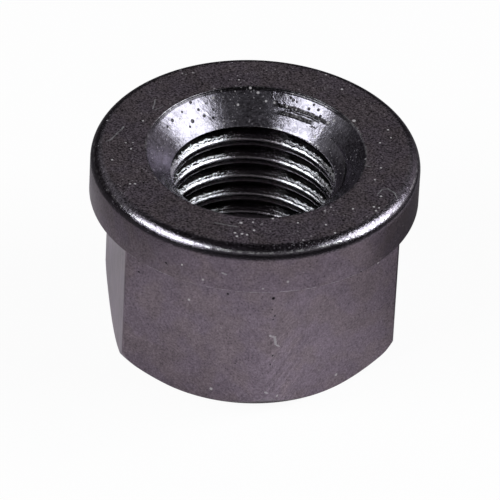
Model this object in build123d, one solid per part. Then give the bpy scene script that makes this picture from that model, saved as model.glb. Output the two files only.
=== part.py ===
from build123d import *
import os
from math import ceil, cos, radians, tan

from build123d.topology import SkipClean

# Hexagon nut with a round flange, turned and milled from one bar.
# Millimetres and degrees. The hexagon end stands on Z = 0 and the flange faces +Z.
# The thread's axis is the Z axis, two flats face +X and -X, and two corners point to +Y and -Y.

FULL_TURN = 360.0

# Thread: metric coarse, right hand. Its groove has a flat floor, one eighth of the pitch wide.
# The start angle turns the whole thread about the axis, and so sets where each turn comes out.
THREAD_DIAMETER = 16.0
THREAD_PITCH = 2.0
THREAD_FLANK_ANGLE = 60.0
THREAD_START_ANGLE = 216.0
FLOOR_SHARE = 1 / 8

# Hexagon: this much metal is left between the thread's root and each flat
HEX_SIDES = 6
FLAT_WALL = 4.0
HEIGHT = 18.5
CORNER_ROUNDING = 0.4
CORNER_BEVEL_ANGLE = 45.0

# Flange: its rim stands out from the flats by the ledge's width, which covers the corners too
FLANGE_LEDGE = 2.4
FLANGE_THICKNESS = 4.5
FLANGE_EDGE_RADIUS = 1.2

# Countersinks at the two ends, each wider than the thread by its margin all round
FLANGE_MOUTH_MARGIN = 1.6
HEX_MOUTH_MARGIN = 0.65
MOUTH_ANGLE = 90.0

# The groove's cutter reaches this far inside the crests, so that it cuts them cleanly.
# It follows the helix in half turns. The drilled wall is laid out in quarters.
GROOVE_OVERCUT = 0.2
ARCS_PER_TURN = 2
BORE_SECTORS = 4

# Sizes that follow from the driving dimensions
ROOT_RADIUS = THREAD_DIAMETER / 2
CREST_RADIUS = ROOT_RADIUS - THREAD_PITCH / 2
FLAT_RADIUS = ROOT_RADIUS + FLAT_WALL
HALF_SIDE_ANGLE = FULL_TURN / HEX_SIDES / 2
CORNER_RADIUS = FLAT_RADIUS / cos(radians(HALF_SIDE_ANGLE))
FLANGE_RADIUS = FLAT_RADIUS + FLANGE_LEDGE
HEX_LENGTH = HEIGHT - FLANGE_THICKNESS
FLANK_SLOPE = tan(radians(THREAD_FLANK_ANGLE / 2))
MOUTH_SLOPE = tan(radians(MOUTH_ANGLE / 2))


def hexagon():
    """Hexagonal bar up to the flange, its corners rounded and then bevelled at the end face."""
    outline = RegularPolygon(FLAT_RADIUS, HEX_SIDES, major_radius=False, rotation=HALF_SIDE_ANGLE)
    bar = extrude(fillet(outline.vertices(), CORNER_ROUNDING), HEX_LENGTH)
    bevel_height = (CORNER_RADIUS - FLAT_RADIUS) * tan(radians(CORNER_BEVEL_ANGLE))
    bevel = Plane.XZ * make_face(
        Polyline(
            (0, 0),
            (FLAT_RADIUS, 0),
            (CORNER_RADIUS, bevel_height),
            (CORNER_RADIUS, HEX_LENGTH),
            (0, HEX_LENGTH),
            close=True,
        )
    )
    return bar & revolve(bevel, Axis.Z)


def flange():
    """Round flange on top of the hexagon, with its upper edge rounded over."""
    disc = Pos(0, 0, HEX_LENGTH) * extrude(Circle(FLANGE_RADIUS), FLANGE_THICKNESS)
    rim = disc.edges().filter_by(GeomType.CIRCLE).sort_by(Axis.Z)[-1]
    return fillet(rim, FLANGE_EDGE_RADIUS)


def mouth(margin):
    """Countersink cutter with its wide end at Z = 0, coming to a point on the thread's axis."""
    radius = ROOT_RADIUS + margin
    depth = radius / MOUTH_SLOPE
    return Pos(0, 0, -depth / 2) * Cone(0, radius, depth)


def thread_groove():
    """Helical groove of one right-hand thread, long enough to run out of both ends."""
    half_floor = THREAD_PITCH * FLOOR_SHARE / 2
    inner = CREST_RADIUS - GROOVE_OVERCUT
    half_mouth = half_floor + (ROOT_RADIUS - inner) * FLANK_SLOPE
    rise = THREAD_PITCH / ARCS_PER_TURN
    start = -THREAD_PITCH
    arcs = ceil((HEIGHT + THREAD_PITCH - start) / rise)
    helix = Wire(
        [
            Pos(0, 0, start + arc * rise)
            * Rot(0, 0, arc * FULL_TURN / ARCS_PER_TURN)
            * Edge.make_helix(THREAD_PITCH, rise, ROOT_RADIUS)
            for arc in range(arcs)
        ]
    )
    profile = Plane.XZ * make_face(
        Polyline(
            (inner, start - half_mouth),
            (ROOT_RADIUS, start - half_floor),
            (ROOT_RADIUS, start + half_floor),
            (inner, start + half_mouth),
            close=True,
        )
    )
    return Rot(0, 0, THREAD_START_ANGLE) * sweep(profile, helix, is_frenet=True)


def bore():
    """Drilled hole whose wall is laid out in sectors, so each thread crest is a row of short lands."""
    sector_angle = FULL_TURN / BORE_SECTORS
    section = Plane.XZ * make_face(
        Polyline((0, 0), (CREST_RADIUS, 0), (CREST_RADIUS, HEIGHT), (0, HEIGHT), close=True)
    )
    return [
        revolve(Rot(0, 0, sector * sector_angle) * section, Axis.Z, revolution_arc=sector_angle)
        for sector in range(BORE_SECTORS)
    ]


def flange_nut():
    """The whole nut: hexagon and flange in one piece, bored, countersunk and threaded."""
    blank = hexagon() + flange()
    with SkipClean():
        blank = blank - bore()
        blank -= Pos(0, 0, HEIGHT) * mouth(FLANGE_MOUTH_MARGIN)
        blank -= Rot(180, 0, 0) * mouth(HEX_MOUTH_MARGIN)
        return blank - thread_groove()


if __name__ == "__main__":
    os.makedirs("parts", exist_ok=True)
    nut = flange_nut()
    export_step(nut, "parts/flange_nut.step")
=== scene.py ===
from math import cos, hypot, pi, radians, sin, tan

import bmesh
import bpy
from bpy.props import FloatProperty, FloatVectorProperty, PointerProperty
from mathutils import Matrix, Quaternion, Vector


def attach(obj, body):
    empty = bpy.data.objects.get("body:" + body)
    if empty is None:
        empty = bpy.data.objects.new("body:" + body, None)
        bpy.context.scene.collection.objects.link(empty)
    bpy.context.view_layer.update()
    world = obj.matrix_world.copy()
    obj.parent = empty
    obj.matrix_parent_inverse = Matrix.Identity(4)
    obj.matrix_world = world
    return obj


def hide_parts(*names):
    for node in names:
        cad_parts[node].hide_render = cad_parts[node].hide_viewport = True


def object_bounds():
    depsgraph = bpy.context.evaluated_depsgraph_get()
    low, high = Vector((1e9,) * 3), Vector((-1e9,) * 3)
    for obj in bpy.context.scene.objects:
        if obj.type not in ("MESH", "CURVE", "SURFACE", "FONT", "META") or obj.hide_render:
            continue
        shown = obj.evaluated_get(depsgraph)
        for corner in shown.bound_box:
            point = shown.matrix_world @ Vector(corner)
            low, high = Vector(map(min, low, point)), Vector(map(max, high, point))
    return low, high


bl_info = {
    "name": "Flange Nut",
    "version": (1, 0, 0),
    "blender": (4, 5, 0),
    "location": "3D Viewport > Sidebar > Flange Nut",
    "description": "Models an oiled black oxide flange nut on its solid and sets it on a pale studio floor",
    "category": "Object",
}

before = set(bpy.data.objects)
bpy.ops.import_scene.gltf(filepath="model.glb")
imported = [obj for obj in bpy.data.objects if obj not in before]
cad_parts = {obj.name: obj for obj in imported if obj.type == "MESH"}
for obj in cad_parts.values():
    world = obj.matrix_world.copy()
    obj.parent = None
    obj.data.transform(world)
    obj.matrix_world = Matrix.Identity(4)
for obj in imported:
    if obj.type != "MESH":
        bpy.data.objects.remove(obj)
cad_low, cad_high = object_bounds()

MM = 0.001
BODY = "root"
NODE = "flange_nut"

# Steps round the axis and across each rounding
HEX_SIDES = 6
LATHE_SIDES = 256
TURN_STEPS = 128
HEX_CORNER_STEPS = 6
END_BEVEL_STEPS = 8
FLANGE_EDGE_STEPS = 14
EDGE_BREAK_STEPS = 3
MOUTH_BREAK_STEPS = 4
CREST_STEPS = 4
BALL_STEPS = (32, 16)

# Thread: share of the pitch that the groove's floor takes, cut of the root's edges in shares of their
# rounding, and turns added below the nut and in all, so that the tap reaches past both ends
FLOOR_SHARE = 1 / 8
ROOT_CUT = (0.3, 0.6)
TURNS_BELOW = 2
SPARE_TURNS = 5

# Reach of tools past the solid, distance at which corners are welded, slack in finding an edge by its
# radius, most sides of a gap that is filled, and shading of the finished mesh
SPARE = 2 * MM
WELD = 1e-6
RADIUS_SLACK = 0.02 * MM
GAP_SIDES = 4
SMOOTH_ANGLE = 32
NORMAL_WEIGHT = 80

# Camera and floor
PHOTO_WIDTH = 500
SENSOR_WIDTH = 36
CLIP_START = 0.01
CLIP_END = 20
FLOOR_WIDTH = 4

# Marks on the nut, in millimetres: knocked spots with their half sizes, scratches with their half width,
# bright specks and dark hollows with their radius, and the tool's rings in the countersink with their
# half width and the angles between which they show
KNOCKS = (("corner_knock", (0.15, -14.52, 8.3), (0.8, 0.8, 0.95)),)
SCRATCHES = (
    ((-8.3, 6.75, 18.5), (-7.92, 8.2, 18.5), 0.08), ((-8.1, 6.6, 18.5), (-7.35, 7.1, 18.5), 0.07),
    ((-12.9, 2.3, 18.5), (-12.4, 2.5, 18.5), 0.07), ((-12.4, 2.5, 18.5), (-11.81, 3.32, 18.5), 0.08),
    ((-11.81, 3.32, 18.5), (-11.09, 4.3, 18.5), 0.08), ((9.25, 2.83, 18.5), (9.44, 0.9, 18.5), 0.07),
    ((8.6, -4.03, 18.5), (9.14, -2.61, 18.5), 0.08), ((9.14, -2.61, 18.5), (9.71, -2.94, 18.5), 0.07),
    ((9.79, -6.86, 18.5), (10.22, -6.31, 18.5), 0.07), ((10.22, -6.31, 18.5), (10.75, -6.2, 18.5), 0.07),
    ((10.75, -6.2, 18.5), (11.2, -6.81, 18.5), 0.08), ((11.2, -6.81, 18.5), (11.47, -7.99, 18.5), 0.09),
    ((-4.77, -10.06, 18.5), (-2.95, -10.76, 18.5), 0.07),
    ((-0.08, -13.78, 8.85), (0.39, -13.63, 8.53), 0.1), ((0.39, -13.63, 8.53), (0.49, -13.57, 7.78), 0.15),
    ((0.56, -13.53, 7.62), (0.85, -13.37, 7.3), 0.07),
    ((-0.2, -13.74, 2.55), (0.15, -13.94, 2.5), 0.1), ((-4.5, -13.68, 15.79), (-4.15, -13.79, 15.7), 0.09),
)
SPECKS = (
    ((-12.46, 5.43, 18.5), 0.12), ((-9.34, 5.08, 18.5), 0.1), ((-12.58, -6.47, 18.5), 0.14),
    ((-12.64, -0.45, 18.5), 0.11), ((-10.83, 1.04, 18.5), 0.1), ((-11.46, -4.02, 18.5), 0.09),
    ((-11.02, -4.04, 18.5), 0.1), ((-0.22, 10.62, 18.5), 0.09), ((-2.54, -10.21, 18.5), 0.15),
    ((-1.5, -10.21, 18.5), 0.1), ((-3.22, -11.59, 18.5), 0.12), ((-3.11, -12.1, 18.5), 0.12),
    ((-2.64, -11.77, 18.5), 0.13), ((-2.23, -11.94, 18.5), 0.12), ((-1.55, -11.35, 18.5), 0.12),
    ((-0.63, -9.48, 18.5), 0.1), ((9.13, 3.88, 18.5), 0.17), ((8.69, 8.62, 18.5), 0.12),
    ((7.56, 10.88, 18.5), 0.09), ((11.93, 2.36, 18.5), 0.1), ((12.03, 1.17, 18.5), 0.09),
    ((10.97, 0.5, 18.5), 0.1), ((9.36, -1.67, 18.5), 0.13), ((8.03, -2.39, 18.5), 0.1),
    ((10.56, -3.14, 18.5), 0.1), ((9.8, -4.84, 18.5), 0.1), ((10.0, -7.24, 18.5), 0.12),
    ((9.19, -8.7, 18.5), 0.12), ((9.61, -8.87, 18.5), 0.1), ((9.29, -9.28, 18.5), 0.12),
    ((7.34, -8.86, 18.5), 0.11), ((5.35, -12.16, 18.5), 0.11), ((5.93, -12.35, 18.5), 0.1),
    ((4.72, -10.98, 18.5), 0.11), ((2.35, -10.54, 18.5), 0.1), ((0.26, -9.8, 18.5), 0.13),
    ((-6.92, 5.19, 17.55), 0.12), ((-5.9, 6.39, 17.6), 0.13), ((-2.73, 8.72, 18.04), 0.13),
    ((-0.52, 8.45, 17.37), 0.12), ((0.66, 9.48, 18.4), 0.13), ((1.31, 9.12, 18.11), 0.14),
    ((1.96, 8.49, 17.61), 0.12), ((2.68, 8.26, 17.58), 0.12), ((7.03, 5.03, 17.54), 0.14),
    ((7.52, 4.87, 17.86), 0.13), ((6.57, 4.76, 17.01), 0.12), ((5.87, 4.62, 16.37), 0.13),
    ((-4.6, -11.2, 1.23), 0.15), ((-6.71, -9.98, 10.2), 0.12), ((6.55, -10.08, 1.3), 0.15),
    ((9.97, -8.1, 11.94), 0.1), ((0.91, -13.33, 1.83), 0.12), ((-6.02, -13.08, 14.71), 0.11),
    ((-7.76, -12.13, 15.7), 0.1), ((1.15, -14.35, 15.1), 0.12), ((-0.98, -14.37, 14.46), 0.09),
)
HOLLOWS = (
    ((-4.82, 7.95, 18.2), 0.13), ((-4.13, 7.64, 17.58), 0.12), ((-3.65, 7.35, 17.11), 0.13),
    ((-2.79, 7.93, 17.31), 0.12), ((-2.84, 7.39, 16.82), 0.12), ((-4.75, 6.66, 17.08), 0.17),
    ((-6.62, 5.94, 17.8), 0.14), ((-7.14, 5.17, 17.72), 0.12), ((-5.66, 6.99, 17.9), 0.1),
    ((-5.01, 6.17, 16.85), 0.1), ((-3.41, 8.22, 17.8), 0.08), ((4.13, 8.21, 18.09), 0.12),
    ((4.33, 8.0, 18.0), 0.13), ((4.62, 7.77, 17.94), 0.08), ((5.57, 6.9, 17.77), 0.13),
    ((6.01, 6.99, 18.12), 0.1), ((6.34, 6.45, 17.95), 0.12), ((6.45, 5.91, 17.65), 0.12),
    ((0.07, -13.82, 12.93), 0.17), ((0.02, -13.84, 11.7), 0.09), ((0.28, -13.69, 10.95), 0.09),
    ((0.15, -13.77, 10.6), 0.08), ((0.28, -13.69, 6.6), 0.1), ((0.11, -13.79, 5.7), 0.08),
    ((-12.0, -5.28, 11.89), 0.19), ((-9.02, -11.22, 15.28), 0.11), ((7.84, -12.08, 14.1), 0.1),
    ((-10.85, -7.59, 11.63), 0.1), ((-3.6, -11.78, 12.07), 0.11),
)
TOOL_RINGS = ((8.58, 0.16, 34, 74), (8.14, 0.19, 43, 70), (8.36, 0.07, 40, 66))
LOOPS = (((2.85, 8.67, 18.03), 0.42, 0.13), ((5.95, 5.54, 17.03), 0.4, 0.12))

# Noises: clouds to the millimetre, detail, roughness, distortion
NOISES = {
    "clouds": (0.6, 2, 0.5, 0), "grain": (5.5, 3, 0.7, 0), "mottle": (1.3, 4, 0.7, 0), "tint": (0.4, 2, 0.5, 0),
    "swirl": (1, 3, 0.6, 0.6), "streaks": (1, 3, 0.6, 0), "breaks": (2.2, 3, 0.6, 0), "crowds": (0.35, 2, 0.5, 0),
    "sway": (1.5, 2, 0.5, 0), "wobble": (2.4, 2, 0.5, 0), "ragged": (3, 3, 0.7, 0),
    "fine_bumps": (6.5, 3, 0.6, 0), "wide_bumps": (0.9, 1, 0.5, 0), "cone_bumps": (2.4, 3, 0.7, 0),
}

# Flecks: cells to the millimetre, radius in millimetres, share of the cells that have one
FLECKS = {"large": (2.0, 0.11, 0.5), "small": (4.0, 0.085, 0.6), "cone": (2.8, 0.1, 0.5), "pits": (2.2, 0.06, 0.12)}

# Fades: where a part or a mark starts to show and where it shows in full. They count in millimetres from
# the surface or the axis that they go with. But flange_edge, ring_end, line, point and band are shares of
# a width, and breaks, crowds, tint and haze are values of a noise.
FADES = {
    "mouth": (0.06, -0.02), "cone": (-0.25, -0.1), "face": (-0.4, -0.1), "flange_low": (0.0, -0.1),
    "right_flat": (-0.2, -0.1), "left_flat": (0.2, 0.1), "flange_edge": (1.0, 0.6),
    "swirl_along": (-1.5, -5.0), "swirl_height": (12.0, 7.0), "shade_along": (9.0, 6.0), "shade_left": (-3.0, -5.0),
    "rim_wear": (-0.35, -0.15), "low_wear": (-0.3, -0.1), "foot_wear": (-0.2, 0.0), "edge_wear": (-0.6, -0.4),
    "grime": (3.0, 4.5), "ring_end": (1.0, 0.75), "groove": (0.42, 0.5), "lands": (0.03, 0.01),
    "shade_line_height": (15.9, 15.3), "rubbed": (1.6, 3.2), "breaks": (0.42, 0.62), "crowds": (0.4, 0.65),
    "tint": (0.4, 0.6), "haze": (0.42, 0.75), "line": (1.3, 0.4), "point": (1.25, 0.6), "band": (1.0, 0.4),
}

# Lines round the nut: distance from their surface and half width, in millimetres
LINES = {
    "rim_wear": (0.0, 0.14), "low_wear": (0.0, 0.12), "foot_wear": (0.05, 0.12), "edge_wear": (-0.42, 0.11),
    "grime": (-0.1, 0.16), "flank_shade_line": (0.27, 0.08),
}

# Directions on the nut in degrees: along and out of the right flat, slant of the milling marks on it, and
# across the bore as the camera sees it
RIGHT_ALONG = 30
RIGHT_OUT = -60
SWIRL_SLANT = 48
ACROSS = -8.7

# Stretch of the milling marks along and across them, and the same for the streaks of the left flat
SWIRL_STRETCH = (0.3, 2.6)
STREAK_STRETCH = (3.0, 0.25)

# Slope of the painted shade on the countersink and of the painted dark line along the thread's flanks, and
# how far scratches, rings, loops and the thread's tones stray, in millimetres to a unit of noise
SHADE_SLOPE = 0.5
SHADE_LINE_LEAN = 0.012
SHADE_LINE_SLOPE = 0.12
STRAY = {"scratch": 0.2, "ring": 0.12, "loop": 0.9, "thread": 0.7}

# Brightness that each thing adds or takes, some of it painted: shade on the left of the countersink, and light on the
# right and left flats
TONES = {
    "grain": 2.2, "grain_face": 3.6, "grain_cone": 1.2, "clouds": 0.5, "cone_shade": 0.35, "swirl": 1.3,
    "streaks": 2.4, "right_flat": 0.08, "left_flat": 0.12, "mottle": 2.0,
}

# Shares of each thing in what it is mixed into
SHARES = {
    "rim_wear": 0.5, "foot_wear": 0.7, "low_wear": 0.9, "small_flecks": 0.6, "sparse_flecks": 0.35,
    "side_flecks": 0.35, "faint_marks": 0.65, "marks": 0.9, "grime": 0.8, "lands": 0.78, "thread_shade": 0.66,
    "edge_thin": 0.7, "thread_cut": 0.2, "pits": 0.95, "cone_flecks": 0.5, "haze": 0.13, "flecks": 0.75,
    "cone_smooth": 0.6, "edge_smooth": 0.8,
}

# Roughness that grain and scratches add
GRAIN_ROUGH = 0.15
MARK_ROUGH = 0.25

# Heights of the bumps in millimetres
BUMPS = {
    "fine": 0.02, "fine_cone": 0.013, "fine_thread": 0.014, "wide": 0.02, "cone": 0.026, "pits": 0.03,
    "rings": 0.02, "marks": 0.015, "swirl": 0.01,
}

# Zones of the floor that only reflections see, in millimetres: the middles of the white sheet, the table
# round it, whose back is painted shade behind the nut, and a painted shadow of the nut at the right, how far
# out each one fades, and the table's bright side
SHEET_MIDDLE = (-6, -2)
TABLE_MIDDLE = (10, -4)
TABLE_FADE = (42, 62)
TABLE_FRONT = (0.35, -0.94)
FRONT_FADE = (-14, 24)
SHADOW_MIDDLE = (31, 3)
SHADOW_FADE = (24, 9)
SHADOW_SHARE = 0.88

# Room in reflections, in degrees: elevations at which the lit band starts and ends, and the azimuth from
# the camera, elevation and reach of the low wall
BAND_START = (22, 33)
BAND_END = (56, 42)
WALL_PLACE = (122, 14)
WALL_REACH = (34, 18)


def length_setting(name, description, default):
    """A length in metres that shows in the scene's own units."""
    return FloatProperty(
        name=name, description=description, default=default, min=0.0, precision=5,
        unit="LENGTH", subtype="DISTANCE",
    )


def angle_setting(name, description, degrees):
    """An angle that is kept in radians and shows in degrees."""
    return FloatProperty(
        name=name, description=description, default=radians(degrees), unit="ROTATION", subtype="ANGLE",
    )


def colour_setting(name, description, default):
    """A colour as the shader reads it, in linear light."""
    return FloatVectorProperty(
        name=name, description=description, default=default, min=0.0, max=1.0, size=3, subtype="COLOR",
    )


def share_setting(name, description, default):
    """A share from 0 to 1."""
    return FloatProperty(name=name, description=description, default=default, min=0.0, max=1.0, subtype="FACTOR")


class FlangeNutSettings(bpy.types.PropertyGroup):
    """Sizes and colours of the nut."""

    flange_diameter: length_setting(
        "Flange Diameter", "Width of the round flange", cad_high.x - cad_low.x,
    )
    height: length_setting("Height", "From the hexagon's end to the flange's face", cad_high.z - cad_low.z)
    flange_thickness: length_setting("Flange Thickness", "Height of the round flange", 4.5 * MM)
    flange_edge: length_setting("Flange Edge", "Radius of the flange's upper edge", 1.2 * MM)
    across_flats: length_setting("Across Flats", "Width between two opposite flats", 24 * MM)
    corner_radius: length_setting("Corner Radius", "Rounding of the hexagon's upright corners", 0.4 * MM)
    corner_bevel: length_setting("Corner Bevel", "Reach of the 45 degree bevel at the hexagon's end", 1.85 * MM)
    edge_break: length_setting("Edge Break", "Rounding of the sharp turned edges", 0.1 * MM)
    thread_diameter: length_setting("Thread Diameter", "Width over the thread's roots", 16 * MM)
    thread_pitch: length_setting("Thread Pitch", "Distance from one turn to the next", 2 * MM)
    thread_flank: angle_setting("Flank Angle", "Angle between the two flanks of the groove", 60)
    thread_start: angle_setting("Thread Start", "Turn of the whole thread about its axis", 216)
    thread_round: length_setting("Thread Rounding", "Rounding of the roots' edges", 0.07 * MM)
    crest_round: length_setting("Crest Rounding", "Radius of the crests' edges", 0.42 * MM)
    mouth_break: length_setting("Mouth Break", "Rounding of the countersink's rim", 0.17 * MM)
    mouth_diameter: length_setting("Mouth Diameter", "Countersink in the flange's face", 19.2 * MM)
    end_mouth_diameter: length_setting("End Mouth Diameter", "Countersink in the hexagon's end", 17.3 * MM)
    mouth_angle: angle_setting("Mouth Angle", "Angle of both countersinks", 90)
    oxide: colour_setting("Oxide", "Reflection of the oiled black oxide", (0.193, 0.156, 0.191))
    warm_oxide: colour_setting("Warm Oxide", "Reflection of its browner clouds", (0.197, 0.159, 0.182))
    thin_oxide: colour_setting("Thin Oxide", "Reflection of the countersink and the rubbed edge", (0.195, 0.178, 0.212))
    cut_steel: colour_setting("Cut Steel", "Reflection of the thread's flanks", (0.58, 0.56, 0.6))
    dust: colour_setting("Dust", "Paint of dust and lint on the oil", (0.42, 0.385, 0.4))
    bare_steel: colour_setting("Bare Steel", "Reflection where the oxide is rubbed off", (0.56, 0.53, 0.56))
    # This colour also paints the shade in the thread and the dark line inside the countersink's back rim
    pit_and_shade: colour_setting("Pit", "Reflection of pits and of grime in tool marks", (0.005, 0.0045, 0.005))
    edge_tint: colour_setting("Edge Tint", "Reflection at a glancing angle", (0.95, 0.92, 0.96))
    roughness: share_setting("Roughness", "Of the flange's face and the outside", 0.3)
    bore_roughness: share_setting("Bore Roughness", "Of the freshly cut countersink and thread", 0.13)


class FlangeNutStageSettings(bpy.types.PropertyGroup):
    """Where the camera and the lamps stand, and how bright the studio is."""

    camera_azimuth: angle_setting("Camera Azimuth", "Direction of the camera round the nut", -98.68)
    camera_elevation: angle_setting("Camera Elevation", "Height of the camera above the horizon", 37.03)
    camera_roll: angle_setting("Camera Roll", "Turn of the camera about its own axis", 2.93)
    camera_distance: length_setting("Camera Distance", "From the camera to the middle of the nut", 0.6126)
    lens: FloatProperty(
        name="Lens", description="Focal length in millimetres", default=502.4, min=10.0, unit="CAMERA",
    )
    offset_right: FloatProperty(
        name="Offset Right", description="Nut's middle right of the picture's, in pixels", default=1.65,
    )
    offset_up: FloatProperty(
        name="Offset Up", description="Nut's middle above the picture's, in pixels", default=14.17,
    )
    left_azimuth: angle_setting("Left Azimuth", "Left softbox, round the nut from the camera", -61)
    left_elevation: angle_setting("Left Elevation", "Height of the left softbox", 36)
    right_azimuth: angle_setting("Right Azimuth", "Right softbox, round the nut from the camera", 93)
    right_elevation: angle_setting("Right Elevation", "Height of the right softbox", 36)
    softbox_distance: length_setting("Softbox Distance", "From each softbox to the nut", 0.5)
    softbox_width: length_setting("Softbox Width", "Width of each softbox", 0.34)
    softbox_height: length_setting("Softbox Height", "Height of each softbox", 0.3)
    softbox_brightness: FloatProperty(
        name="Softbox Brightness", description="Against a white floor in full light", default=5.6, min=0.0,
    )
    softbox_colour: colour_setting("Softbox Colour", "Slightly cool lamps", (0.93, 1.0, 1.0))
    floor: colour_setting("Floor", "Colour of the floor and the backdrop", (0.93, 0.88, 0.9))
    room: colour_setting("Room", "Colour of the dim band of wall at half height", (0.3, 0.31, 0.305))
    gloom: colour_setting("Gloom", "Colour of the unlit room low down and overhead", (0.03, 0.028, 0.03))
    side_wall: colour_setting("Side Wall", "Colour of the low wall at the back right", (0.38, 0.37, 0.385))
    table: colour_setting("Table", "Floor in reflections, beyond the sheet at the front", (0.74, 0.69, 0.71))
    # Painted shade of the floor behind the nut, seen only in reflections
    painted_shade_table: colour_setting("Dim Table", "Floor in reflections, beyond the sheet at the back", (0.19, 0.182, 0.188))
    sheet_radius: length_setting("Sheet Radius", "Reach of the white sheet that metal sees", 26 * MM)
    sheet_fade: length_setting("Sheet Fade", "Half the width over which the sheet darkens", 6 * MM)
    glow: share_setting("Glow", "Share of the floor that is plain white in the picture", 0.94)
    metal_glow: share_setting("Metal Glow", "The same share in reflections", 0.05)


def clear_selection():
    """Leaves edit mode and deselects everything, so that the next step acts on one piece alone."""
    if bpy.context.object is not None and bpy.context.object.mode != "OBJECT":
        bpy.ops.object.mode_set(mode="OBJECT")
    bpy.ops.object.select_all(action="DESELECT")


def make_active(piece):
    """Selects one piece alone."""
    clear_selection()
    piece.select_set(True)
    bpy.context.view_layer.objects.active = piece


def settle(name):
    """Names the primitive that was just added, and moves its place into its mesh."""
    piece = bpy.context.object
    piece.name = name
    bpy.ops.object.transform_apply(location=True, rotation=True, scale=True)
    return piece


def add_cylinder(name, sides, radius, low, high):
    """Upright closed cylinder between two heights."""
    clear_selection()
    bpy.ops.mesh.primitive_cylinder_add(
        vertices=sides, radius=radius, depth=high - low, location=(0, 0, (low + high) / 2),
    )
    return settle(name)


def add_cone(name, low_radius, high_radius, low, high):
    """Upright closed cone or frustum between two heights."""
    clear_selection()
    bpy.ops.mesh.primitive_cone_add(
        vertices=LATHE_SIDES, radius1=low_radius, radius2=high_radius, depth=high - low,
        location=(0, 0, (low + high) / 2),
    )
    return settle(name)


def edit(piece, mode):
    """Opens a piece in edit mode with nothing selected."""
    make_active(piece)
    bpy.ops.object.mode_set(mode="EDIT")
    bpy.ops.mesh.select_mode(type=mode)
    bpy.ops.mesh.select_all(action="DESELECT")


def pick(piece, test):
    """Selects the parts of the piece in edit mode that pass a test, and says how many do."""
    mesh = bmesh.from_edit_mesh(piece.data)
    parts = {"VERT": mesh.verts, "EDGE": mesh.edges, "FACE": mesh.faces}[next(iter(mesh.select_mode))]
    chosen = [part for part in parts if test(part)]
    for part in chosen:
        part.select_set(True)
    mesh.select_flush_mode()
    bmesh.update_edit_mesh(piece.data)
    return len(chosen)


def bevel_picked(piece, test, width, segments):
    """Rounds over the edges that pass a test."""
    edit(piece, "EDGE")
    if not pick(piece, test):
        raise RuntimeError(f"{piece.name} has no edge to round there")
    bpy.ops.mesh.bevel(offset=width, segments=segments, affect="EDGES")
    bpy.ops.object.mode_set(mode="OBJECT")


def at_height(height, reach=WELD):
    """Test for a part that lies flat at one height."""
    return lambda part: all(abs(corner.co.z - height) < reach for corner in part.verts)


def apply_modifier(piece, kind, **settings):
    """Adds a modifier, sets it and applies it."""
    make_active(piece)
    modifier = piece.modifiers.new(kind.title(), kind)
    for name, value in settings.items():
        setattr(modifier, name, value)
    bpy.ops.object.modifier_apply(modifier=modifier.name)


def combine(piece, tool, operation):
    """Cuts, keeps or adds what the tool covers, and removes the tool."""
    apply_modifier(piece, "BOOLEAN", object=tool, operation=operation, solver="EXACT")
    bpy.data.objects.remove(tool)


def add_hexagon(nut):
    """Hexagonal bar that reaches into the flange, with rounded corners and a turned bevel at its end."""
    half_flats = nut.across_flats / 2
    top = nut.height - nut.flange_thickness / 2
    hexagon = add_cylinder("hexagon", HEX_SIDES, half_flats / cos(pi / HEX_SIDES), 0, top)
    bevel_picked(
        hexagon,
        lambda edge: abs(edge.verts[0].co.z - edge.verts[1].co.z) > top / 2,
        nut.corner_radius * tan(pi / HEX_SIDES),
        HEX_CORNER_STEPS,
    )
    envelope = add_cylinder("turned_end", LATHE_SIDES, half_flats / cos(pi / HEX_SIDES), 0, top)
    bevel_picked(envelope, at_height(0), nut.corner_bevel, 1)
    bevel_picked(envelope, at_height(nut.corner_bevel), nut.corner_bevel / 2, END_BEVEL_STEPS)
    combine(hexagon, envelope, "INTERSECT")
    return hexagon


def add_flange(nut):
    """Round flange with its upper edge rounded over and its lower edge broken."""
    low = nut.height - nut.flange_thickness
    flange = add_cylinder("flange", LATHE_SIDES, nut.flange_diameter / 2, low, nut.height)
    bevel_picked(flange, at_height(nut.height), nut.flange_edge, FLANGE_EDGE_STEPS)
    bevel_picked(flange, at_height(low), nut.edge_break, EDGE_BREAK_STEPS)
    return flange


def sink_mouth(nut, body):
    """Countersink pressed into the flange's face, by an inset and an extrusion that draws it in."""
    rim = nut.mouth_diameter / 2
    crest = (nut.thread_diameter - nut.thread_pitch) / 2
    face_radius = nut.flange_diameter / 2 - nut.flange_edge
    edit(body, "FACE")
    if pick(body, at_height(nut.height)) != 1:
        raise RuntimeError("the flange's face is not in one piece")
    bpy.ops.mesh.inset(thickness=(face_radius - rim) * cos(pi / LATHE_SIDES))
    bpy.ops.mesh.extrude_region_move(
        TRANSFORM_OT_translate={"value": (0, 0, -(rim - crest) / tan(nut.mouth_angle / 2))},
    )
    bpy.ops.transform.resize(value=(crest / rim, crest / rim, 1))
    bpy.ops.object.mode_set(mode="OBJECT")
    bevel_picked(
        body,
        lambda edge: at_height(nut.height)(edge)
        and all(abs(hypot(*corner.co.xy) - rim) < RADIUS_SLACK for corner in edge.verts),
        nut.mouth_break,
        MOUTH_BREAK_STEPS,
    )


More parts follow.
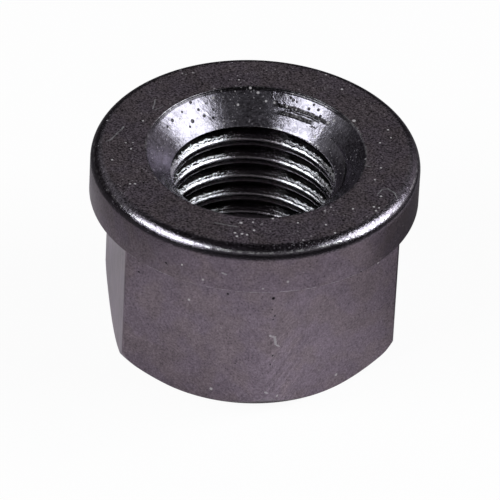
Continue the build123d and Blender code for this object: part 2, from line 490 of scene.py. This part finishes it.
def add_tap(nut):
    """Rod that fills the threaded bore: one turn's outline, repeated and screwed round the axis."""
    pitch = nut.thread_pitch
    root = nut.thread_diameter / 2
    crest = root - pitch / 2
    half_floor = pitch * FLOOR_SHARE / 2
    half_mouth = half_floor + (root - crest) * tan(nut.thread_flank / 2)
    middle = (-nut.thread_start / (2 * pi)) % 1 * pitch
    soft = nut.thread_round
    turn = pi / 2 - nut.thread_flank / 2
    arc = nut.crest_round
    arc_middle = half_mouth + arc * tan(turn / 2)
    angles = [step * turn / CREST_STEPS for step in range(CREST_STEPS + 1)]
    corner = [(crest + arc * (1 - cos(angle)), arc_middle - arc * sin(angle)) for angle in angles]
    upper = [
        (root, half_floor - soft * ROOT_CUT[0]),
        (root - soft, half_floor + soft * ROOT_CUT[1]),
        *reversed(corner),
        (crest, pitch / 2),
    ]
    outline = [(radius, -height) for radius, height in reversed(upper)] + upper
    turns = int(nut.height / pitch) + SPARE_TURNS
    low = middle - TURNS_BELOW * pitch
    clear_selection()
    bpy.ops.mesh.primitive_plane_add(size=MM, location=(0, 0, 0))
    tap = settle("tap")
    edit(tap, "VERT")
    bpy.ops.mesh.select_all(action="SELECT")
    bpy.ops.mesh.merge(type="CENTER")
    bpy.ops.transform.translate(value=(outline[0][0], 0, low + outline[0][1]))
    for (radius, height), (next_radius, next_height) in zip(outline, outline[1:]):
        bpy.ops.mesh.extrude_vertices_move(
            TRANSFORM_OT_translate={"value": (next_radius - radius, 0, next_height - height)},
        )
    bpy.ops.object.mode_set(mode="OBJECT")
    apply_modifier(
        tap, "ARRAY", count=turns, use_relative_offset=False, use_constant_offset=True,
        constant_offset_displace=(0, 0, pitch), use_merge_vertices=True, merge_threshold=WELD,
    )
    apply_modifier(
        tap, "SCREW", axis="Z", angle=2 * pi, screw_offset=pitch, steps=TURN_STEPS,
        render_steps=TURN_STEPS, use_merge_vertices=True, merge_threshold=WELD,
    )
    close_ends(tap)
    return tap


def close_ends(tap):
    """Closes the two open ends of the rod, each with a fan of faces."""
    edit(tap, "VERT")
    bpy.ops.mesh.select_all(action="SELECT")
    bpy.ops.mesh.remove_doubles(threshold=WELD)
    bpy.ops.mesh.select_mode(type="EDGE")
    middle = sum(corner.co.z for corner in bmesh.from_edit_mesh(tap.data).verts) / len(tap.data.vertices)
    for side in (-1, 1):
        bpy.ops.mesh.select_all(action="DESELECT")
        pick(tap, lambda edge: edge.is_boundary and (edge.verts[0].co.z - middle) * side > 0)
        bpy.ops.mesh.edge_face_add()
        bpy.ops.mesh.poke()
    bpy.ops.mesh.select_all(action="SELECT")
    bpy.ops.mesh.normals_make_consistent(inside=False)
    bpy.ops.object.mode_set(mode="OBJECT")


def knock(body):
    """Takes the knocked spots out of the edges, each with a small egg-shaped tool."""
    segments, rings = BALL_STEPS
    for name, point, size in KNOCKS:
        clear_selection()
        bpy.ops.mesh.primitive_uv_sphere_add(
            segments=segments, ring_count=rings, radius=MM, location=[part * MM for part in point],
        )
        bpy.ops.transform.resize(value=size)
        combine(body, settle(name), "DIFFERENCE")


def model_nut(nut):
    """The whole nut as one closed mesh."""
    body = add_flange(nut)
    combine(body, add_hexagon(nut), "UNION")
    sink_mouth(nut, body)
    end = nut.end_mouth_diameter / 2 + SPARE * tan(nut.mouth_angle / 2)
    depth = end / tan(nut.mouth_angle / 2)
    combine(body, add_cone("end_mouth", end, 0, -SPARE, depth - SPARE), "DIFFERENCE")
    combine(body, add_tap(nut), "DIFFERENCE")
    knock(body)
    edit(body, "VERT")
    bpy.ops.mesh.select_all(action="SELECT")
    bpy.ops.mesh.remove_doubles(threshold=WELD)
    bpy.ops.mesh.fill_holes(sides=GAP_SIDES)
    bpy.ops.mesh.normals_make_consistent(inside=False)
    bpy.ops.object.mode_set(mode="OBJECT")
    bpy.ops.object.shade_smooth_by_angle(angle=radians(SMOOTH_ANGLE))
    apply_modifier(body, "WEIGHTED_NORMAL", weight=NORMAL_WEIGHT, keep_sharp=True)
    body.name = "nut"
    body.data.name = "nut"
    return body


class Shader:
    """Node tree of a material or a world. Each node goes in with one call."""

    def __init__(self, owner):
        owner.use_nodes = True
        self.tree = owner.node_tree
        self.tree.nodes.clear()

    def add(self, kind, settings=None, sockets=None, output=0):
        """Adds a node, makes its settings, and then fills or links its sockets."""
        node = self.tree.nodes.new(kind)
        for name, value in (settings or {}).items():
            setattr(node, name, value)
        for key, value in (sockets or {}).items():
            if isinstance(value, Reading):
                self.tree.links.new(value.socket, node.inputs[key])
            else:
                node.inputs[key].default_value = value
        return Reading(self, node.outputs[output]) if node.outputs else None

    def maths(self, operation, *values):
        """One step of arithmetic on numbers and readings."""
        return self.add("ShaderNodeMath", {"operation": operation}, dict(enumerate(values)))

    def vector(self, operation, first, second, output=0):
        """One step of arithmetic on two vectors or colours."""
        return self.add("ShaderNodeVectorMath", {"operation": operation}, {0: first, 1: second}, output)

    def scaled(self, vector, share):
        """A vector or colour times a number."""
        return self.add("ShaderNodeVectorMath", {"operation": "SCALE"}, {0: vector, "Scale": share})

    def blend(self, share, first, second):
        """Colour that goes from the first to the second as the share goes from 0 to 1."""
        return self.add("ShaderNodeMix", {"data_type": "RGBA"}, {0: share, 6: first, 7: second}, 2)

    def step(self, value, low, high):
        """0 up to the low value and 1 from the high one, with a smooth rise between; a fall if low is higher."""
        return self.add(
            "ShaderNodeMapRange", {"interpolation_type": "SMOOTHSTEP"},
            {"Value": value, "From Min": low, "From Max": high},
        )

    def fade(self, value, name, surface=0.0, unit=1.0):
        """Step over one of the named fades, which counts from a surface in shares of a unit."""
        low, high = FADES[name]
        return self.step(value, surface + low * unit, surface + high * unit)

    def noise(self, place, name):
        """One of the named noises, around 0.5."""
        scale, detail, roughness, distortion = NOISES[name]
        return self.add(
            "ShaderNodeTexNoise", None,
            {"Vector": place, "Scale": scale, "Detail": detail, "Roughness": roughness, "Distortion": distortion},
        )

    def stray(self, place, name):
        """The same noise around 0, which both adds and takes."""
        return self.noise(place, name) - 0.5


class Reading:
    """A node's output. Arithmetic on it adds Math nodes."""

    def __init__(self, shader, socket):
        self.shader = shader
        self.socket = socket

    def output(self, name):
        """Another output of the same node."""
        return Reading(self.shader, self.socket.node.outputs[name])

    def __add__(self, other):
        return self.shader.maths("ADD", self, other)

    __radd__ = __add__

    def __sub__(self, other):
        return self.shader.maths("SUBTRACT", self, other)

    def __rsub__(self, other):
        return self.shader.maths("SUBTRACT", other, self)

    def __mul__(self, other):
        return self.shader.maths("MULTIPLY", self, other)

    __rmul__ = __mul__

    def __pow__(self, power):
        return self.shader.maths("POWER", self, power)

    def __gt__(self, other):
        return self.shader.maths("GREATER_THAN", self, other)

    def __abs__(self):
        return self.shader.maths("ABSOLUTE", self)

    def __or__(self, other):
        return self.shader.maths("MAXIMUM", self, other)


def flecks(shader, place, name):
    """Round spots of mixed sizes, one at most in a cell, in a share of the cells."""
    scale, size, share = FLECKS[name]
    smallest, spread, softness = 0.4, 0.8, 0.5
    cell = shader.add("ShaderNodeTexVoronoi", None, {"Vector": place, "Scale": scale})
    draw = shader.add("ShaderNodeSeparateColor", None, {"Color": cell.output("Color")})
    reach = (draw.output("Green") * spread + smallest) * (size * scale)
    edge = shader.step(cell.output("Distance") - reach, 0.0, -softness * size * scale)
    return edge * (draw > 1 - share)


def near_line(shader, place, start, end, width):
    """Straight scratch between two places: 1 in it, 0 beside it."""
    run = [far - near for near, far in zip(start, end)]
    square = sum(part * part for part in run)
    offset = shader.vector("SUBTRACT", place, start)
    along = shader.vector("DOT_PRODUCT", offset, [part / square for part in run], "Value")
    clamped = shader.add("ShaderNodeClamp", None, {"Value": along})
    gap = shader.vector("DISTANCE", offset, shader.scaled(run, clamped), "Value")
    return shader.fade(gap, "line", unit=width)


def near_point(shader, place, point, size):
    """Round speck at a place."""
    return shader.fade(shader.vector("DISTANCE", place, point, "Value"), "point", unit=size)


def near_value(shader, value, middle, reach):
    """Soft band about one value: 1 in its middle, 0 from its reach on."""
    return shader.fade(abs(value - middle), "band", unit=reach)


def near_surface(shader, value, surface, name):
    """One of the named lines round the nut."""
    offset, reach = LINES[name]
    return near_value(shader, value, surface + offset, reach)


class Zones:
    """The place that is shaded, in millimetres, and the parts of the nut: 1 on each one and 0 off it."""

    def __init__(self, shader, nut):
        self.place = shader.scaled(shader.add("ShaderNodeTexCoord", output="Object"), 1 / MM)
        apart = shader.add("ShaderNodeSeparateXYZ", None, {"Vector": self.place})
        self.x, self.y, self.z = (apart.output(name) for name in "XYZ")
        self.radius = (self.x * self.x + self.y * self.y) ** 0.5

        self.top = nut.height / MM
        self.rim = nut.mouth_diameter / 2 / MM
        self.crest = (nut.thread_diameter - nut.thread_pitch) / 2 / MM
        self.foot = self.top - self.rim + self.crest
        self.flange_low = self.top - nut.flange_thickness / MM
        self.flange_rim = nut.flange_diameter / 2 / MM
        flat = nut.across_flats / 2 / MM
        edge_radius = nut.flange_edge / MM

        self.bore = shader.fade(self.radius, "mouth", self.rim)
        self.cone = self.bore * shader.fade(self.z - self.radius, "cone", self.top - self.rim)
        self.thread = self.bore - self.cone
        self.face = shader.fade(self.z, "face", self.top) * (1 - self.bore)
        self.edge = (
            shader.fade(self.radius, "flange_edge", self.flange_rim, -edge_radius)
            * shader.fade(self.z, "flange_edge", self.top, -edge_radius)
        )
        self.right_along = self.along(RIGHT_ALONG)
        below = shader.fade(self.z, "flange_low", self.flange_low)
        self.right_flat = shader.fade(self.along(RIGHT_OUT), "right_flat", flat) * below
        self.left_flat = shader.fade(self.x, "left_flat", -flat) * below
        # Painted light: the sides of the bore across the camera's view, where the thread's highlights fall; the flanks
        # are painted brighter there and the thread's painted shade darker
        self.rubbed = shader.fade(abs(self.along(ACROSS)), "rubbed")

    def along(self, degrees):
        """Distance from the axis in a level direction."""
        return self.x * cos(radians(degrees)) + self.y * sin(radians(degrees))


def milling_marks(shader, zones):
    """Slanting marks of the mill on the right flat."""
    slant = radians(SWIRL_SLANT)
    along, across = SWIRL_STRETCH
    sweep = shader.add("ShaderNodeCombineXYZ", None, {
        "X": (zones.right_along * cos(slant) + zones.z * sin(slant)) * along,
        "Y": (zones.z * cos(slant) - zones.right_along * sin(slant)) * across,
    })
    return (
        shader.stray(sweep, "swirl")
        * zones.right_flat
        * shader.fade(zones.right_along, "swirl_along")
        * shader.fade(zones.z, "swirl_height")
    )


def find_tone(shader, zones, grain, swirl):
    """Brightness of the oxide against its plain colour."""
    across, along = STREAK_STRETCH
    upright = shader.add("ShaderNodeCombineXYZ", None, {"X": zones.y * across, "Y": zones.z * along})
    streaks = shader.stray(upright, "streaks") * zones.left_flat
    # Painted shade on the left part of the countersink
    painted_shade = (
        shader.fade(zones.y - zones.x * SHADE_SLOPE, "shade_along")
        * shader.fade(zones.x, "shade_left")
        * zones.cone
    )
    contrast = TONES["grain"] + zones.face * TONES["grain_face"] - zones.cone * TONES["grain_cone"]
    tone = 1 + (grain - 0.5) * contrast + shader.stray(zones.place, "clouds") * TONES["clouds"]
    return (
        tone
        - painted_shade * TONES["cone_shade"]
        + swirl * TONES["swirl"]
        + streaks * TONES["streaks"]
        # Painted light: the right flat and the left flat are painted brighter
        + zones.right_flat * TONES["right_flat"]
        + zones.left_flat * TONES["left_flat"]
        + shader.stray(zones.place, "mottle") * zones.cone * TONES["mottle"]
    )


def find_wear(shader, zones, breaks):
    """Edges where the oxide is rubbed off in places."""
    rim = near_surface(shader, zones.radius, zones.rim, "rim_wear") * shader.fade(zones.z, "rim_wear", zones.top)
    low = (
        near_surface(shader, zones.z, zones.flange_low, "low_wear")
        * shader.fade(zones.radius, "low_wear", zones.flange_rim)
    )
    foot = (
        near_surface(shader, zones.radius, zones.crest, "foot_wear")
        * shader.fade(zones.z, "foot_wear", zones.foot)
    )
    edge = (
        near_surface(shader, zones.z, zones.top, "edge_wear")
        * shader.fade(zones.radius, "edge_wear", zones.flange_rim)
    )
    shown = edge | rim * SHARES["rim_wear"] | foot * SHARES["foot_wear"] | low * SHARES["low_wear"]
    return shown * breaks


def find_dust(shader, zones, grain):
    """Specks of dust and lint, and the haze of it in the countersink."""
    crowds = shader.fade(shader.noise(zones.place, "crowds"), "crowds")
    sparse = SHARES["sparse_flecks"]
    side = SHARES["side_flecks"]
    small = flecks(shader, zones.place, "small") * SHARES["small_flecks"] * (sparse + crowds * (1 - sparse))
    spots = (flecks(shader, zones.place, "large") * crowds | small) * (side + (zones.face | zones.cone) * (1 - side))
    specks = 0.0
    for point, size in SPECKS:
        specks = near_point(shader, zones.place, point, size) | specks
    fine = flecks(shader, zones.place, "cone") * SHARES["cone_flecks"]
    haze = (fine | shader.fade(grain, "haze") * SHARES["haze"]) * zones.cone
    return specks | spots * SHARES["flecks"] | haze


def find_marks(shader, zones, breaks):
    """Scratches that wander a little and break up."""
    sway = shader.vector("SUBTRACT", shader.noise(zones.place, "sway").output("Color"), (0.5, 0.5, 0.5))
    swayed = shader.vector("ADD", zones.place, shader.scaled(sway, STRAY["scratch"]))
    marks = 0.0
    for start, end, width in SCRATCHES:
        marks = near_line(shader, swayed, start, end, width) | marks
    faint = SHARES["faint_marks"]
    return marks * (faint + breaks * (1 - faint))


def find_rings(shader, zones, breaks):
    """Dark tool rings and loops in the countersink, and a dark line painted just inside its rim at the back."""
    wobble = shader.stray(zones.place, "wobble")
    angle = shader.maths("ARCTAN2", zones.y, zones.x)
    rings = 0.0
    for ring, width, start, end in TOOL_RINGS:
        middle = radians(start + end) / 2
        ends = shader.fade(abs(angle - middle), "ring_end", unit=radians(end - start) / 2)
        rings = near_value(shader, zones.radius + wobble * STRAY["ring"], ring, width) * ends | rings
    for point, size, width in LOOPS:
        away = shader.vector("DISTANCE", zones.place, point, "Value") + wobble * STRAY["loop"]
        rings = near_value(shader, away, size, width) * breaks | rings
    # Dark line painted just inside the countersink's rim at the back
    grime = near_surface(shader, zones.radius, zones.rim, "grime") * shader.fade(zones.y, "grime") * SHARES["grime"]
    return (rings | grime) * zones.cone


def paint_thread_shade(shader, zones):
    """Painted shade in the thread: dark lands, dark groove floors and a dark line along the flanks, less dark in the
    middle of the bore as the camera sees it.
    """
    depth = zones.radius - zones.crest + shader.stray(zones.place, "ragged") * STRAY["thread"]
    flank_shade_line = (
        near_surface(shader, depth + zones.x * SHADE_LINE_LEAN, 0.0, "flank_shade_line")
        * shader.fade(zones.z - zones.x * SHADE_LINE_SLOPE, "shade_line_height")
    )
    lands = shader.fade(zones.radius, "lands", zones.crest) * SHARES["lands"]
    least = SHARES["thread_shade"]
    return zones.thread * (flank_shade_line | shader.fade(depth, "groove") | lands) * (least + zones.rubbed * (1 - least))


def blacken(nut):
    """Oiled black oxide with its grain, clouds, rubbed edges, flecks, pits, tool rings and scratches, with painted
    light on two flats and the bore's sides and painted shade in the thread and the countersink.
    """
    material = bpy.data.materials.new("black_oxide")
    shader = Shader(material)
    zones = Zones(shader, nut)
    place, cone, thread, edge = zones.place, zones.cone, zones.thread, zones.edge

    grain = shader.noise(place, "grain")
    swirl = milling_marks(shader, zones)
    breaks = shader.fade(shader.noise(place, "breaks"), "breaks")
    marks = find_marks(shader, zones, breaks)
    rings = find_rings(shader, zones, breaks)
    dust = find_dust(shader, zones, grain)
    pits = flecks(shader, place, "pits")
    for point, size in HOLLOWS:
        pits = near_point(shader, place, point, size) | pits

    tint = shader.fade(shader.noise(place, "tint"), "tint")
    steel = shader.blend(tint, (*nut.oxide, 1), (*nut.warm_oxide, 1))
    steel = shader.blend(cone | edge * SHARES["edge_thin"], steel, (*nut.thin_oxide, 1))
    # The thread's flanks are painted brighter at the bore's sides, where its highlights fall, than in the middle
    least = SHARES["thread_cut"]
    steel = shader.blend(thread * (least + zones.rubbed * (1 - least)), steel, (*nut.cut_steel, 1))
    colour = shader.scaled(steel, find_tone(shader, zones, grain, swirl))
    bare = find_wear(shader, zones, breaks) | marks * SHARES["marks"]
    colour = shader.blend(bare, colour, (*nut.bare_steel, 1))
    # Pits and tool rings are real marks; the thread's dark lands, groove floors and flank line are painted shade, and
    # the dark line inside the countersink's back rim is painted
    dark = pits * SHARES["pits"] | rings | paint_thread_shade(shader, zones)
    colour = shader.blend(dark, colour, (*nut.pit_and_shade, 1))
    colour = shader.blend(dust, colour, (*nut.dust, 1))

    smooth = cone * SHARES["cone_smooth"] | thread | edge * SHARES["edge_smooth"]
    roughness = (
        nut.roughness
        + smooth * (nut.bore_roughness - nut.roughness)
        + (grain - 0.5) * GRAIN_ROUGH
        + marks * MARK_ROUGH
    )
    height = (
        shader.stray(place, "fine_bumps")
        * (BUMPS["fine"] - cone * BUMPS["fine_cone"] + thread * BUMPS["fine_thread"])
        + shader.stray(place, "wide_bumps") * BUMPS["wide"]
        + shader.stray(place, "cone_bumps") * cone * BUMPS["cone"]
        - pits * BUMPS["pits"]
        - rings * BUMPS["rings"]
        - marks * BUMPS["marks"]
        + swirl * BUMPS["swirl"]
    )
    normal = shader.add("ShaderNodeBump", None, {"Strength": 1.0, "Distance": MM, "Height": height})
    surface = shader.add(
        "ShaderNodeBsdfPrincipled", None,
        {
            "Base Color": colour, "Metallic": 1 - dust, "Roughness": roughness, "Normal": normal,
            "Specular Tint": (*nut.edge_tint, 1),
        },
    )
    shader.add("ShaderNodeOutputMaterial", None, {"Surface": surface})
    return material


class FLANGENUT_OT_nut(bpy.types.Operator):
    """Models the nut in one piece and puts it in place of its solid"""

    bl_idname = "flange_nut.nut"
    bl_label = "Model the Nut"

    def execute(self, context):
        nut = context.scene.flange_nut
        body = model_nut(nut)
        body.data.materials.clear()
        body.data.materials.append(blacken(nut))
        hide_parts(NODE)
        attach(body, BODY)
        return {"FINISHED"}


def add_camera(stage, middle):
    """Camera at the photograph's angle, with the picture's shift and roll."""
    back = towards(stage.camera_azimuth, stage.camera_elevation)
    look = (-back).to_track_quat("-Z", "Y") @ Quaternion((0, 0, 1), stage.camera_roll)
    clear_selection()
    bpy.ops.object.camera_add(location=middle + back * stage.camera_distance, rotation=look.to_euler())
    camera = bpy.context.object
    camera.name = "camera"
    camera.data.lens = stage.lens
    camera.data.sensor_width = SENSOR_WIDTH
    camera.data.shift_x = -stage.offset_right / PHOTO_WIDTH
    camera.data.shift_y = -stage.offset_up / PHOTO_WIDTH
    camera.data.clip_start = CLIP_START
    camera.data.clip_end = CLIP_END
    bpy.context.scene.camera = camera


def towards(azimuth, elevation):
    """Unit vector in a direction."""
    return Vector((cos(elevation) * cos(azimuth), cos(elevation) * sin(azimuth), sin(elevation)))


def add_softbox(name, stage, aim, azimuth, elevation):
    """Oblong lamp that faces the nut, at an azimuth from the camera."""
    away = towards(stage.camera_azimuth + azimuth, elevation)
    clear_selection()
    bpy.ops.object.light_add(
        type="AREA", location=aim + away * stage.softbox_distance,
        rotation=away.to_track_quat("Z", "Y").to_euler(),
    )
    lamp = bpy.context.object
    lamp.name = name
    lamp.data.shape = "RECTANGLE"
    lamp.data.size = stage.softbox_width
    lamp.data.size_y = stage.softbox_height
    lamp.data.color = stage.softbox_colour
    lamp.data.energy = stage.softbox_brightness * pi * stage.softbox_width * stage.softbox_height
    return lamp


def on_floor(middle):
    """Place on the floor from its two level distances in millimetres."""
    return (middle[0] * MM, middle[1] * MM, cad_low.z)


def paint_floor(stage):
    """Pale floor that is nearly white in the picture, keeps the nut's shadow, and in reflections darkens, with painted
    shade behind the nut and a painted shadow of it at the right.
    """
    material = bpy.data.materials.new("studio_floor")
    shader = Shader(material)
    path = shader.add("ShaderNodeLightPath")
    seen = path.output("Is Camera Ray")
    mirrored = path.output("Is Glossy Ray") | path.output("Is Transmission Ray")
    place = shader.add("ShaderNodeTexCoord", output="Object")
    from_sheet = shader.vector("DISTANCE", place, on_floor(SHEET_MIDDLE), "Value")
    from_table = shader.vector("DISTANCE", place, on_floor(TABLE_MIDDLE), "Value")
    from_shadow = shader.vector("DISTANCE", place, on_floor(SHADOW_MIDDLE), "Value")
    forward = shader.vector("DOT_PRODUCT", place, (*TABLE_FRONT, 0), "Value")
    front = shader.step(forward, *(limit * MM for limit in FRONT_FADE))
    off_table = shader.step(from_table, *(limit * MM for limit in TABLE_FADE))
    off_sheet = shader.step(from_sheet, stage.sheet_radius - stage.sheet_fade, stage.sheet_radius + stage.sheet_fade)
    painted_shadow = shader.step(from_shadow, *(limit * MM for limit in SHADOW_FADE))
    # The table's back is painted shade behind the nut, seen only in reflections
    table = shader.blend(front, (*stage.painted_shade_table, 1), (*stage.table, 1))
    table = shader.blend(off_table, table, (*stage.gloom, 1))
    tint = shader.blend(mirrored * off_sheet, (*stage.floor, 1), table)
    # Painted shadow of the nut on the floor at the right, seen only in reflections
    tint = shader.blend(mirrored * painted_shadow * SHADOW_SHARE, tint, (*stage.gloom, 1))
    paint = shader.add("ShaderNodeBsdfDiffuse", None, {"Color": tint})
    white = shader.add("ShaderNodeEmission", None, {"Color": (1, 1, 1, 1), "Strength": 1.0})
    share = seen * stage.glow | mirrored * stage.metal_glow
    surface = shader.add("ShaderNodeMixShader", None, {0: share, 1: paint, 2: white})
    shader.add("ShaderNodeOutputMaterial", None, {"Surface": surface})
    return material


def light_room(stage):
    """White behind the nut in the picture, and in reflections a dim room with a band of lit wall."""
    world = bpy.data.worlds.new("studio")
    bpy.context.scene.world = world
    shader = Shader(world)
    path = shader.add("ShaderNodeLightPath")
    direction = shader.add("ShaderNodeTexCoord", output="Generated")
    rise = shader.add("ShaderNodeSeparateXYZ", None, {"Vector": direction}, "Z")
    start, end = ([sin(radians(limit)) for limit in limits] for limits in (BAND_START, BAND_END))
    wall = shader.blend(shader.step(rise, *start) * shader.step(rise, *end), (*stage.gloom, 1), (*stage.room, 1))
    azimuth, elevation = (radians(angle) for angle in WALL_PLACE)
    side = towards(stage.camera_azimuth + azimuth, elevation)
    facing = shader.vector("DOT_PRODUCT", direction, side, "Value")
    near_side = shader.step(facing, *(cos(radians(limit)) for limit in WALL_REACH))
    wall = shader.blend(near_side, wall, (*stage.side_wall, 1))
    room = shader.add("ShaderNodeBackground", None, {"Color": wall})
    white = shader.add("ShaderNodeBackground", None, {"Color": (1, 1, 1, 1), "Strength": 1.0})
    surface = shader.add("ShaderNodeMixShader", None, {0: path.output("Is Camera Ray"), 1: room, 2: white})
    shader.add("ShaderNodeOutputWorld", None, {"Surface": surface})


class FLANGENUT_OT_stage(bpy.types.Operator):
    """Sets the floor, the room, the lamps and the camera"""

    bl_idname = "flange_nut.stage"
    bl_label = "Set the Stage"

    def execute(self, context):
        stage = context.scene.flange_nut_stage
        middle = (cad_low + cad_high) / 2
        clear_selection()
        bpy.ops.mesh.primitive_plane_add(size=FLOOR_WIDTH, location=(0, 0, cad_low.z))
        floor = settle("floor")
        floor.data.materials.append(paint_floor(stage))
        light_room(stage)
        add_softbox("left_softbox", stage, middle, stage.left_azimuth, stage.left_elevation)
        add_softbox("right_softbox", stage, middle, stage.right_azimuth, stage.right_elevation)
        add_camera(stage, middle)
        context.scene.view_settings.view_transform = "Standard"
        return {"FINISHED"}


class FLANGENUT_PT_sidebar(bpy.types.Panel):
    """Lists the steps that make the scene"""

    bl_label = "Flange Nut"
    bl_idname = "FLANGENUT_PT_sidebar"
    bl_space_type = "VIEW_3D"
    bl_region_type = "UI"
    bl_category = "Flange Nut"

    def draw(self, context):
        column = self.layout.column()
        for settings, operator in (
            (context.scene.flange_nut, FLANGENUT_OT_nut),
            (context.scene.flange_nut_stage, FLANGENUT_OT_stage),
        ):
            for name in type(settings).__annotations__:
                column.prop(settings, name)
            column.operator(operator.bl_idname)


classes = (
    FlangeNutSettings,
    FlangeNutStageSettings,
    FLANGENUT_OT_nut,
    FLANGENUT_OT_stage,
    FLANGENUT_PT_sidebar,
)


def register():
    for cls in classes:
        bpy.utils.register_class(cls)
    bpy.types.Scene.flange_nut = PointerProperty(type=FlangeNutSettings)
    bpy.types.Scene.flange_nut_stage = PointerProperty(type=FlangeNutStageSettings)


def unregister():
    del bpy.types.Scene.flange_nut_stage
    del bpy.types.Scene.flange_nut
    for cls in reversed(classes):
        bpy.utils.unregister_class(cls)


def main():
    register()
    bpy.ops.flange_nut.nut()
    bpy.ops.flange_nut.stage()


if __name__ == "__main__":
    main()
